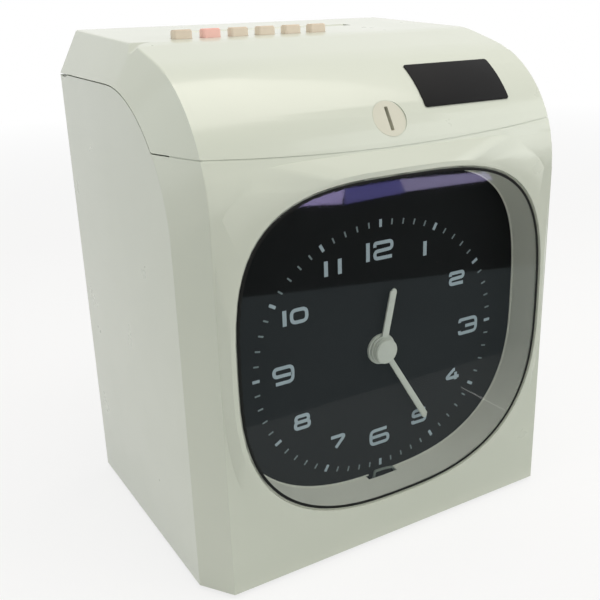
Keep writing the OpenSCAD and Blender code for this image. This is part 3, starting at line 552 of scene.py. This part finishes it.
lensLow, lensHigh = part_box("window_lens")
lensMiddle = round((lensLow.z + lensHigh.z) / 2 / mm, 3)
lensHalf = [round((lensHigh[i] - lensLow[i]) / 2 / mm, 3) for i in (0, 2)]
handJoint = [joint for joint in frame["joints"] if joint["name"] == "minute_turn"][0]
dialCentre = (round(handJoint["pos_m"][0] / mm, 3), round(handJoint["pos_m"][2] / mm, 3))


# mouldings: the large CAD shells, with rounded edges and even shading
mouldings = {
    # edge: rounding of the edges sharper than least degrees; corner: rounding of the long corners
    "base_shell": {"name": "mouldedBase", "edge": 0.4, "least": 62, "smooth": 26, "corner": 1.3},
    "top_cover": {"name": "mouldedCover", "edge": 0.35, "least": 62, "smooth": 26, "corner": 1.3},
    "rear_panel": {"name": "mouldedBack", "edge": 0.4, "least": 40, "smooth": 30, "corner": 0},
    "bezel_liner": {"name": "mouldedLiner", "edge": 0.3, "least": 40, "smooth": 30, "corner": 0},
}
# the crease where the flat top meets the crown, and how near to it an edge counts as part of it
crease = {"y": -6.0, "z": 236.55, "near": 0.6, "rounding": 5.0}
# the long corners of the housing: edges between these angles, this far out and above the feet
longCorners = {"least": 14, "most": 60, "beyond": 88, "above": 3}


def roundOuterEdges(piece, width, wanted):
    # rounds the convex edges for which wanted(angle in degrees, end, end) is true
    pick(piece)
    bpy.ops.object.mode_set(mode="EDIT")
    bpy.ops.mesh.select_all(action="DESELECT")
    bpy.ops.mesh.select_mode(type="EDGE")
    mesh = bmesh.from_edit_mesh(piece.data)
    for edge in mesh.edges:
        if len(edge.link_faces) == 2 and edge.is_convex:
            angle = math.degrees(edge.calc_face_angle())
            edge.select = wanted(angle, *[v.co / mm for v in edge.verts])
    bmesh.update_edit_mesh(piece.data)
    steps = shaping["cornerSteps"]
    bpy.ops.mesh.bevel(offset=width * mm, segments=steps, affect="EDGES", clamp_overlap=True)
    bpy.ops.object.mode_set(mode="OBJECT")


def onCorner(angle, first, last):
    far = min(abs(first.x), abs(last.x)) > longCorners["beyond"]
    high = min(first.z, last.z) > longCorners["above"]
    return longCorners["least"] < angle < longCorners["most"] and far and high


def onCrease(angle, first, last):
    gaps = [math.hypot(end.y - crease["y"], end.z - crease["z"]) for end in (first, last)]
    return max(gaps) < crease["near"]


def makeMouldings():
    for node, look in mouldings.items():
        piece = mergedCopy(node, look["name"])
        if look["corner"]:
            roundOuterEdges(piece, crease["rounding"], onCrease)
            roundOuterEdges(piece, look["corner"], onCorner)
        applyModifier(piece, "BEVEL", width=look["edge"] * mm, segments=shaping["softSteps"],
                      limit_method="ANGLE", angle_limit=math.radians(look["least"]),
                      miter_outer="MITER_ARC")
        bpy.ops.object.shade_smooth_by_angle(angle=math.radians(look["smooth"]))
        applyModifier(piece, "WEIGHTED_NORMAL", keep_sharp=True)
        takePlaceOf(piece, node)


makeMouldings()
print("mouldings done")


# dial print: twelve hours and sixty minute marks
dialPrint = {
    "face": frontOf("dial_plate") - 0.05,
    "ink": 0.06,
    # how far each further stroke of a digit lies in front of the one before
    "layer": 0.01,
    "stroke": 1.7,
    "corner": 2.4,
    # the ring of marks: half width, half height and how square it is
    "ring": (67.0, 61.2, 2.08),
    "hourMark": (1.5, 3.6),
    "minuteMark": (0.8, 2.7),
    "markEdge": 0.12,
    # digit, then the left, right, top and bottom of its outer edge
    "digits": (
        ("1", -8.0, -6.0, 147.4, 138.6), ("2", -4.0, 7.3, 147.4, 138.4),
        ("1", 24.8, 26.8, 142.9, 135.9), ("2", 41.2, 51.0, 124.5, 117.2),
        ("3", 48.2, 60.6, 98.7, 89.7), ("4", 39.9, 50.4, 72.5, 65.1),
        ("5", 19.2, 28.9, 55.8, 47.8), ("6", -6.5, 5.5, 52.2, 43.3),
        ("7", -29.6, -19.3, 55.9, 48.3), ("8", -48.8, -39.7, 72.4, 64.6),
        ("9", -58.8, -47.5, 98.7, 89.7), ("1", -52.5, -50.5, 124.4, 117.1),
        ("0", -48.8, -39.3, 124.4, 117.0), ("1", -30.6, -28.6, 142.9, 135.8),
        ("1", -23.3, -21.3, 142.9, 135.8),
    ),
}
# the strokes of each digit in a box of one by one: its points, and whether it is closed
glyphs = {
    "0": (([(0, 0), (1, 0), (1, 1), (0, 1)], True),),
    "1": (([(0.5, 0), (0.5, 1)], False),),
    "2": (([(0, 0.74), (0, 1), (1, 1), (1, 0.52), (0, 0.46), (0, 0), (1, 0)], False),),
    "3": (([(0, 0.8), (0, 1), (1, 1), (1, 0), (0, 0), (0, 0.2)], False), ([(0.35, 0.5), (1, 0.5)], False)),
    "4": (([(0.7, 1), (0.6, 1), (0, 0.26), (1, 0.26)], False), ([(0.76, 0.72), (0.76, 0)], False)),
    "5": (([(1, 1), (0.06, 1), (0, 0.54), (1, 0.54), (1, 0), (0, 0), (0, 0.2)], False),),
    "6": (([(0.92, 1), (0, 1), (0, 0), (1, 0), (1, 0.52), (0.04, 0.52)], False),),
    "7": (([(0, 1), (0.95, 1), (0.3, 0)], False),),
    "8": (([(0.05, 0.52), (0.95, 0.52), (0.95, 1), (0.05, 1)], True),
          ([(0, 0), (1, 0), (1, 0.52), (0, 0.52)], True)),
    "9": (([(0.96, 0.48), (0, 0.48), (0, 1), (1, 1), (1, 0), (0.08, 0)], False),),
}


def makeDigits():
    strokes = []
    for digit, left, right, top, bottom in dialPrint["digits"]:
        # a one is as wide as its stroke and runs to its full height
        line = right - left if digit == "1" else dialPrint["stroke"]
        inset = 0 if digit == "1" else line / 2
        x0, x1 = left + line / 2, right - line / 2
        z0, z1 = bottom + inset, top - inset
        for layer, (points, closed) in enumerate(glyphs[digit]):
            placed = [(x0 + (x1 - x0) * u, z0 + (z1 - z0) * v) for u, v in points]
            path = roundedPath(placed, dialPrint["corner"], closed)
            face = dialPrint["face"] - dialPrint["layer"] * layer
            strokes.append(inkStroke(path, line, closed, face))
    piece = joined("hourNumbers", strokes)
    applyModifier(piece, "SOLIDIFY", thickness=dialPrint["ink"] * mm, offset=0)
    addPiece(piece, "hourNumbers", "ink")


def makeMarks(name, size, hours, finish):
    bpy.ops.mesh.primitive_cube_add(size=1, scale=(size[0] * mm, dialPrint["ink"] * mm, size[1] * mm))
    pattern = bpy.context.object
    bpy.ops.object.transform_apply(scale=True)
    applyModifier(pattern, "BEVEL", width=dialPrint["markEdge"] * mm, segments=shaping["softSteps"])
    across, up, square = dialPrint["ring"]
    marks = []
    for minute in range(60):
        if (minute % 5 == 0) != hours:
            continue
        turn = math.radians(6 * minute)
        side, rise = math.sin(turn), math.cos(turn)
        reach = (abs(side / across) ** square + abs(rise / up) ** square) ** (-1 / square)
        x, z = reach * side + dialCentre[0], reach * rise + dialCentre[1]
        place = Matrix.Translation((x * mm, dialPrint["face"] * mm, z * mm))
        mark = copied(pattern)
        mark.matrix_world = place @ Matrix.Rotation(turn, 4, "Y")
        marks.append(mark)
    bpy.data.objects.remove(pattern)
    addPiece(joined(name, marks), name, finish)


makeDigits()
makeMarks("hourMarks", dialPrint["hourMark"], True, "ink")
makeMarks("minuteMarks", dialPrint["minuteMark"], False, "faintInk")
print("dial print done")


# hands: the CAD bars made slimmer, with rounded edges
slimHands = {
    # node: new piece and half width of the CAD bar
    "bars": {"hour_hand": ("slimHourHand", 2.0), "minute_hand": ("slimMinuteHand", 1.85)},
    "narrow": 0.76,
    # the bar begins this far from the pivot
    "start": 5.5,
    "slack": 0.02,
    "edge": 0.15,
}


def makeSlimHands():
    middle = Vector(dialCentre)
    for node, (name, half) in slimHands["bars"].items():
        piece = mergedCopy(node, name)
        flat = [Vector((v.co.x, v.co.z)) / mm - middle for v in piece.data.vertices]
        ahead = max(flat, key=lambda point: point.length).normalized()
        across = Vector((ahead.y, -ahead.x))
        for v, point in zip(piece.data.vertices, flat):
            along, beside = point.dot(ahead), point.dot(across)
            if along > slimHands["start"] and abs(beside) < half + slimHands["slack"]:
                moved = point - across * beside * (1 - slimHands["narrow"]) + middle
                v.co.x, v.co.z = moved.x * mm, moved.y * mm
        softenEdges(piece, slimHands["edge"])
        bpy.ops.object.shade_smooth_by_angle(angle=math.radians(shaping["smoothAngle"]))
        takePlaceOf(piece, node)


makeSlimHands()
print("hands done")


# window: the gasket round the lens and the pale lip of the liner, both on the outline of the opening
opening = {
    "beyondLens": 0.5,
    # how square the outline is above and below its middle
    "square": (3.4, 2.6),
    "points": 144,
}
# grow: how far the outer edge lies outside the opening; lower: how much its half height is less;
# front: the y of its face
gasket = {"grow": -0.95, "lower": 0, "width": 1.3, "front": frontOf("window_lens") - 0.07, "thick": 0.2}
lip = {"grow": -1.35, "lower": 1.9, "width": 0.6, "front": frontOf("dial_plate") - 0.6, "thick": 0.6}
# left, right and top of the gap in the lip
lipNotch = (-9.0, 8.0, 30.0)


def ringOutline(ring, look):
    halfX, halfZ = [half + opening["beyondLens"] for half in lensHalf]
    for v in ring.data.vertices:
        turn = math.atan2(v.co.y, v.co.x)
        power = 2 / opening["square"][0 if v.co.y >= 0 else 1]
        x, z = [math.copysign(abs(part) ** power, part) for part in (math.cos(turn), math.sin(turn))]
        v.co = ((halfX + look["grow"]) * x * mm, (halfZ + look["grow"] - look["lower"]) * z * mm, 0)


def cutNotch(ring, notch):
    left, right, high = notch
    pick(ring)
    bpy.ops.object.mode_set(mode="EDIT")
    bpy.ops.mesh.select_all(action="DESELECT")
    mesh = bmesh.from_edit_mesh(ring.data)
    for face in mesh.faces:
        x, _, z = face.calc_center_median() / mm
        face.select = left < x < right and z < high
    bpy.ops.mesh.delete(type="FACE")
    bpy.ops.object.mode_set(mode="OBJECT")


def windowRing(name, look, finish, notch=None):
    bpy.ops.mesh.primitive_circle_add(vertices=opening["points"], radius=1, fill_type="NGON")
    ring = bpy.context.object
    ringOutline(ring, look)
    editAll(ring)
    bpy.ops.mesh.inset(thickness=look["width"] * mm)
    bpy.ops.mesh.delete(type="FACE")
    bpy.ops.object.mode_set(mode="OBJECT")
    place = Matrix.Translation((0, look["front"] * mm, lensMiddle * mm))
    ring.matrix_world = place @ Matrix.Rotation(math.pi / 2, 4, "X")
    settle(ring)
    if notch:
        cutNotch(ring, notch)
    applyModifier(ring, "SOLIDIFY", thickness=look["thick"] * mm, offset=-1)
    softenEdges(ring, min(look["thick"], look["width"]) / 4)
    addPiece(ring, name, finish)


# the small grey tab in the notch of the lip, as [x, z] points
tab = {
    "path": [(-5.0, 24.4), (-4.0, 29.4), (1.6, 29.2), (7.0, 28.4), (8.2, 25.6)],
    "corner": 1.2,
    "width": 0.9,
    "face": frontOf("dial_plate") - 0.9,
    "depth": 1.2,
    "edge": 0.15,
}


def makeTab():
    piece = inkStroke(roundedPath(tab["path"], tab["corner"]), tab["width"], False, tab["face"])
    applyModifier(piece, "SOLIDIFY", thickness=tab["depth"] * mm, offset=0)
    softenEdges(piece, tab["edge"])
    addPiece(piece, "notchTab", "tab")


windowRing("lensGasket", gasket, "gasket")
windowRing("linerLip", lip, "liner", lipNotch)
makeTab()
print("window trim done")


# the round front of the cover: its axis and radius
crown = {"y": -11.0, "z": 172.53, "radius": 60.0}


def crownFront(z):
    return crown["y"] - math.sqrt(crown["radius"] ** 2 - (z - crown["z"]) ** 2)


# the plain plate that lies on the crown
plate = {
    "left": 20.5,
    "right": 69.5,
    "low": 205.5,
    "high": 222.5,
    "thick": 0.5,
    "corner": 1.2,
    "cornerSteps": 5,
    "strips": 14,
    "lift": 0.02,
    "edge": 0.15,
}


def cutStrips(piece, count, half):
    # cuts a flat piece across Y into even strips so that it can follow a curve
    editAll(piece)
    for k in range(1, count):
        bpy.ops.mesh.select_all(action="SELECT")
        at = -half + 2 * half * k / count
        bpy.ops.mesh.bisect(plane_co=(0, at, 0), plane_no=(0, 1, 0))
    bpy.ops.object.mode_set(mode="OBJECT")


def makeBlankPlate():
    first, last = [math.asin((plate[end] - crown["z"]) / crown["radius"]) for end in ("low", "high")]
    middle, half = (first + last) / 2, (last - first) / 2 * crown["radius"] * mm
    bpy.ops.mesh.primitive_plane_add(size=1)
    piece = bpy.context.object
    piece.scale = ((plate["right"] - plate["left"]) * mm, 2 * half, 1)
    bpy.ops.object.transform_apply(scale=True)
    editAll(piece)
    bpy.ops.mesh.bevel(offset=plate["corner"] * mm, segments=plate["cornerSteps"], affect="VERTICES")
    bpy.ops.object.mode_set(mode="OBJECT")
    cutStrips(piece, plate["strips"], half)
    centreX = (plate["left"] + plate["right"]) / 2 * mm
    radius = (crown["radius"] + plate["lift"]) * mm
    for v in piece.data.vertices:
        angle = middle + v.co.y / (crown["radius"] * mm)
        v.co = (v.co.x + centreX, crown["y"] * mm - radius * math.cos(angle),
                crown["z"] * mm + radius * math.sin(angle))
    applyModifier(piece, "SOLIDIFY", thickness=plate["thick"] * mm, offset=1)
    softenEdges(piece, plate["edge"])
    addPiece(piece, "blankPlate", "badge", body="cover")


makeBlankPlate()
print("plate done")


# the bead that lies in the front seam, under the arc of the cover's lower edge
seam = {
    "top": 191.7,
    "sag": 4.1,
    "gap": 0.5,
    "depth": 0.3,
    # depth beside the front, as a multiple
    "besideDepth": 2.5,
    "tuck": 0.5,
    "clear": 0.06,
    "thick": 0.8,
    "halfWidth": 90.6,
    "end": 97.0,
    # how fast the corner of the housing falls back beside its front
    "fall": 2.12,
    "columns": 160,
}


def makeSeamBead():
    radius = (seam["halfWidth"] ** 2 + seam["sag"] ** 2) / (2 * seam["sag"])

    def arcHeight(x, r):
        return seam["top"] + radius - math.sqrt(r * r - x * x)

    bpy.ops.mesh.primitive_grid_add(x_subdivisions=seam["columns"], y_subdivisions=2, size=2)
    bead = bpy.context.object
    for v in bead.data.vertices:
        x = v.co.x * seam["end"]
        low = arcHeight(x, radius + seam["gap"]) - seam["tuck"]
        high = arcHeight(x, radius) - seam["clear"]
        z = low + (high - low) * (v.co.y + 1) / 2
        beside = max(0, abs(x) - seam["halfWidth"])
        depth = seam["depth"] * (seam["besideDepth"] if beside else 1)
        v.co = (x * mm, (crownFront(z) + beside * seam["fall"] + depth) * mm, z * mm)
    applyModifier(bead, "SOLIDIFY", thickness=seam["thick"] * mm, offset=-1)
    addPiece(bead, "seamBead", "shell")


# the floor of the narrow ring round the lock, turned to face out of the crown
lockRing = {
    "inner": 8.22,
    "outer": 8.58,
    "points": 72,
    "front": -0.6,
    "depth": 0.9,
    "y": -62.7,
    "z": 203.0,
    "lean": 59.5,
}


def makeLockRing():
    bpy.ops.mesh.primitive_circle_add(vertices=lockRing["points"], radius=lockRing["outer"] * mm,
                                      fill_type="NGON")
    ring = bpy.context.object
    editAll(ring)
    bpy.ops.mesh.inset(thickness=(lockRing["outer"] - lockRing["inner"]) * mm)
    bpy.ops.mesh.delete(type="FACE")
    bpy.ops.object.mode_set(mode="OBJECT")
    applyModifier(ring, "SOLIDIFY", thickness=lockRing["depth"] * mm, offset=-1)
    ring.matrix_world = (Matrix.Translation((0, lockRing["y"] * mm, lockRing["z"] * mm))
                         @ Matrix.Rotation(math.radians(lockRing["lean"]), 4, "X")
                         @ Matrix.Translation((0, 0, lockRing["front"] * mm)))
    addPiece(ring, "lockRing", "shell", body="cover")


makeSeamBead()
makeLockRing()
print("soft lines done")


# floor, world and lamps
studio = {
    "floorSize": 8.0,
    "floorTones": ((0.83, 0.83, 0.82, 1), (0.8, 0.8, 0.79, 1)),
    "floorScale": 3,
    # share of plain white that a seen floor shows near the object, and how it grows further off
    "nearWhite": 0.75,
    "whiteFrom": 0.6,
    "whiteGain": 0.8,
    "skyLight": 0.5,
    "lamps": (
        # name, place, aimed at, width, height, watts, tint
        ("ceiling", (0.1, -0.25, 1.3), (0, 0, 0.1), 1.3, 0.9, 9.7, (1.0, 0.945, 0.88)),
        ("front", (1.2, -1.0, 0.7), (0, 0, 0.12), 0.9, 0.9, 4.8, (0.97, 1.0, 0.98)),
        ("side", (-1.3, 0.5, 0.7), (0, 0, 0.12), 0.9, 0.9, 2.0, (0.94, 1.0, 1.0)),
    ),
}
# painted reflections: glowing cards on the floor in front for what the window mirrors; the corners of each card in
# mm, and its colour
mirrored = {
    "lift": 0.5,
    "dim": 0.7,
    "dimScale": 6,
    "cards": (
        # two pale bluish cards: painted reflections of the room
        ([(-900, -78), (900, -78), (900, -230), (-900, -226)], (0.55, 0.62, 0.63)),
        ([(-900, -226), (900, -230), (900, -204), (-900, -731)], (0.33, 0.40, 0.42)),
        # a near-black card: painted dark reflection, which darkens the dial in the window and the lower front of
        # the shell
        ([(-900, -731), (900, -204), (1500, -1400), (-900, -1400)], (0.03, 0.03, 0.028)),
        # three bright lavender strips: painted highlights, a lamp reflected along the top edge of the window
        ([(322, -728), (381, -700), (438, -779), (336, -744)], (4.6, 3.9, 7.2)),
        ([(381, -694), (490, -705), (538, -780), (438, -779)], (1.2, 1.1, 3.4)),
        ([(490, -705), (640, -690), (671, -740), (538, -780)], (3.6, 3.2, 5.4)),
        # a thin bright strip: a painted glint on the window
        ([(132.8, -180.7), (131.5, -179.3), (131.8, -138.4), (133.3, -140.0)], (3.2, 3.3, 3.2)),
    ),
}


def rayShare(finish):
    # one for the rays that see the background itself
    path = finish.add("LightPath").socket.node.outputs
    seen = Signal(finish, path["Is Camera Ray"]) + Signal(finish, path["Is Glossy Ray"])
    return (seen + Signal(finish, path["Is Transmission Ray"])).clear()


def makeFloor():
    bpy.ops.mesh.primitive_plane_add(size=studio["floorSize"], location=(0, 0, 0))
    floor = bpy.context.object
    floor.name = "floor"
    finish = newFinish("paleFloor")
    tone = finish.blendColour(finish.noise(studio["floorScale"]), *studio["floorTones"])
    lit = finish.add("BsdfDiffuse", values={"Color": tone})
    glow = finish.add("Emission", values={"Color": (1, 1, 1, 1), "Strength": 1.0})
    x, y, _ = finish.axes()
    far = (((x * x + y * y) ** 0.5 - studio["whiteFrom"]) * studio["whiteGain"]).clear()
    white = studio["nearWhite"] + (1 - studio["nearWhite"]) * far
    mix = finish.add("MixShader", values={0: rayShare(finish) * white, 1: lit, 2: glow})
    floor.data.materials.append(finish.show(mix))


def turnOrder(points):
    # the numbers of the points in their order round the middle
    middle = [sum(point[i] for point in points) / len(points) for i in (0, 1)]
    turn = lambda k: math.atan2(points[k][1] - middle[1], points[k][0] - middle[0])
    return sorted(range(len(points)), key=turn)


def makePaintedReflections():
    # glowing cards that only glossy rays see: painted reflections of the room, as the window of the clock mirrors
    # it
    for number, (corners, colour) in enumerate(mirrored["cards"], 1):
        bpy.ops.mesh.primitive_plane_add(size=2)
        card = bpy.context.object
        card.name = "mirrored%d" % number
        ends = [v.co.xy for v in card.data.vertices]
        for i, k in zip(turnOrder(ends), turnOrder(corners)):
            x, y = corners[k]
            card.data.vertices[i].co = (x * mm, y * mm, mirrored["lift"] * number * mm)
        finish = newFinish("mirroredTone%d" % number)
        dim = [part * mirrored["dim"] for part in colour]
        tone = finish.blendColour(finish.noise(mirrored["dimScale"]), (*colour, 1), (*dim, 1))
        glow = finish.add("Emission", values={"Color": tone, "Strength": 1.0})
        card.data.materials.append(finish.show(glow))
        card.visible_camera = card.visible_diffuse = False
        card.visible_transmission = card.visible_shadow = False


def makeWorld():
    world = bpy.data.worlds.new("studio")
    bpy.context.scene.world = world
    finish = Finish(world)
    seen = rayShare(finish)
    strength = seen + (1 - seen) * studio["skyLight"]
    finish.show(finish.add("Background", values={"Color": (1, 1, 1, 1), "Strength": strength}))


def makeLamps():
    for name, place, target, width, height, watts, tint in studio["lamps"]:
        data = bpy.data.lights.new(name, "AREA")
        data.shape = "RECTANGLE"
        data.size, data.size_y, data.energy, data.color = width, height, watts, tint
        lamp = bpy.data.objects.new(name, data)
        bpy.context.scene.collection.objects.link(lamp)
        lamp.location = place
        aim = Vector(target) - Vector(place)
        lamp.rotation_euler = aim.to_track_quat("-Z", "Y").to_euler()


makeFloor()
makePaintedReflections()
makeWorld()
makeLamps()
print("studio done")
